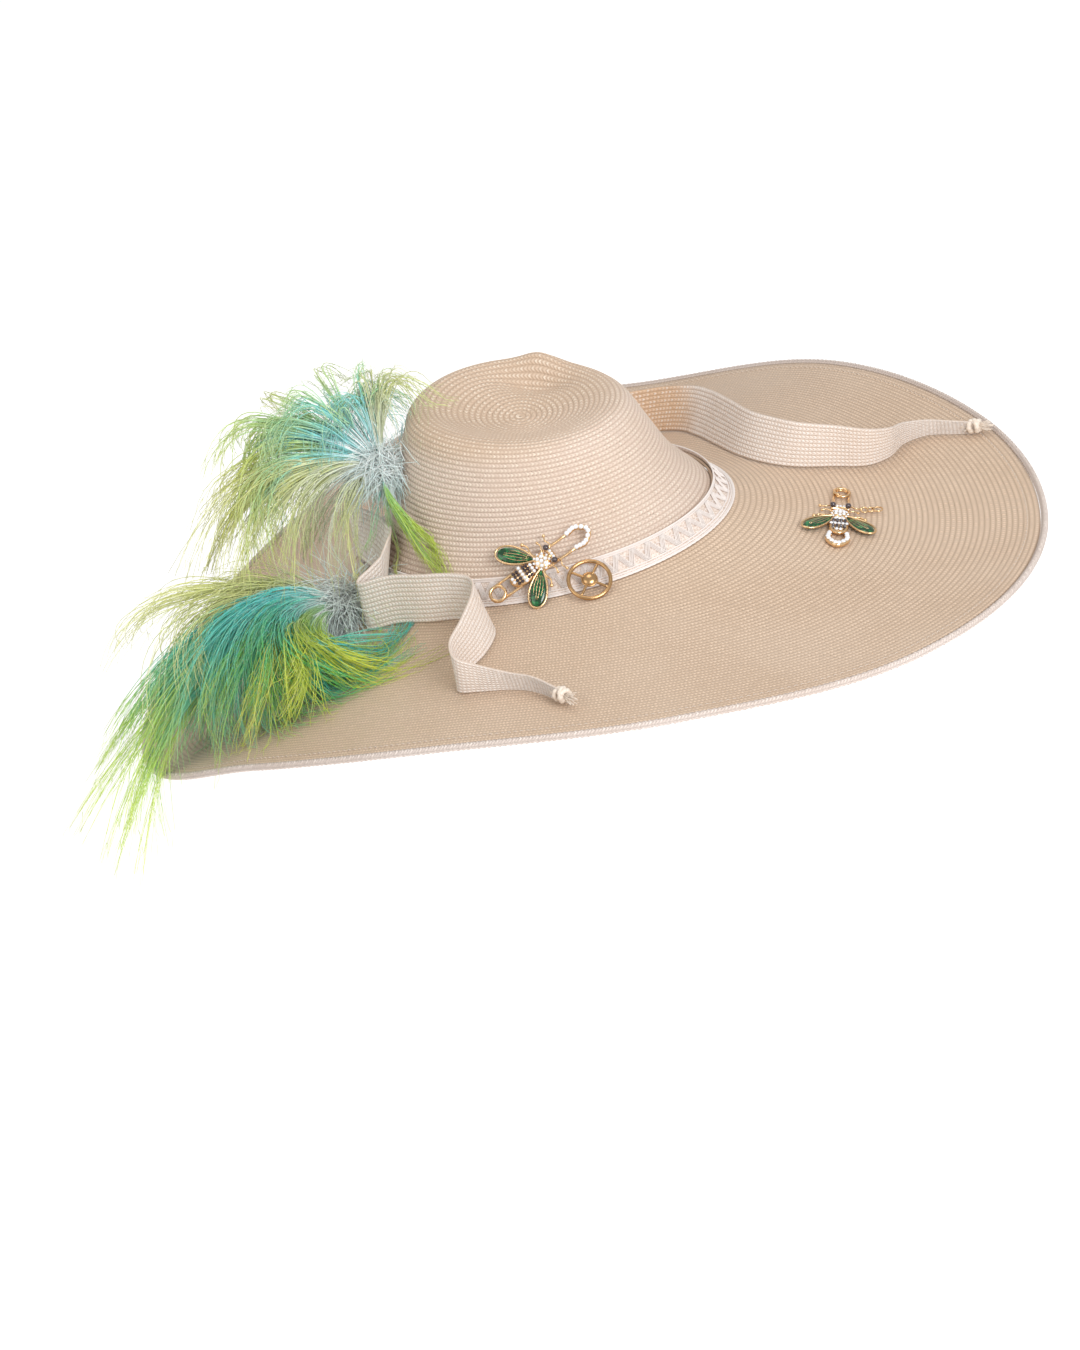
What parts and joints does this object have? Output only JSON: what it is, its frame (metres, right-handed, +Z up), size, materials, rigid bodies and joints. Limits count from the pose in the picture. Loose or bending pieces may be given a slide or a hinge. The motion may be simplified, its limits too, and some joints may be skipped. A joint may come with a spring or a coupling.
{
  "type": "straw hat",
  "caption": "Wide-brimmed straw hat with a dished crown, lace band, straw ribbons, two feather plumes, jewelled bee brooches and a gold ring pin.",
  "frame": {"origin": "centre of the head opening, at the level where the crown wall meets the brim", "axes": "+Z up out of the top of the crown, -Y to the front of the hat, -X to the wearer's right, where the brooches and plumes are"},
  "size_m": [0.503, 0.5557, 0.2278],
  "materials": {
    "straw": "satin",
    "ribbon_straw": "satin",
    "lace": "matte",
    "low_plume": "matte",
    "high_plume": "matte",
    "gold": "polished",
    "enamel": "gloss",
    "clear_stone": "gloss",
    "dark_stone": "gloss"
  },
  "bodies": {
    "root": {"crown": "straw", "brim": "straw", "lace_band": "lace", "hem": "straw", "side_ribbon": "ribbon_straw", "front_ribbon": "ribbon_straw", "low_plume": "low_plume", "high_plume": "high_plume", "bee_side_casting": "gold", "bee_side_left_wing": "enamel", "bee_side_right_wing": "enamel", "bee_side_back_stones": "clear_stone", "bee_side_hood_stones": "clear_stone", "bee_side_tail_stones": "dark_stone", "bee_side_left_eye": "dark_stone", "bee_side_right_eye": "dark_stone", "bee_front_casting": "gold", "bee_front_left_wing": "enamel", "bee_front_right_wing": "enamel", "bee_front_back_stones": "clear_stone", "bee_front_hood_stones": "clear_stone", "bee_front_tail_stones": "dark_stone", "bee_front_left_eye": "dark_stone", "bee_front_right_eye": "dark_stone", "ring_pin": "gold"}
  },
  "joints": []
}
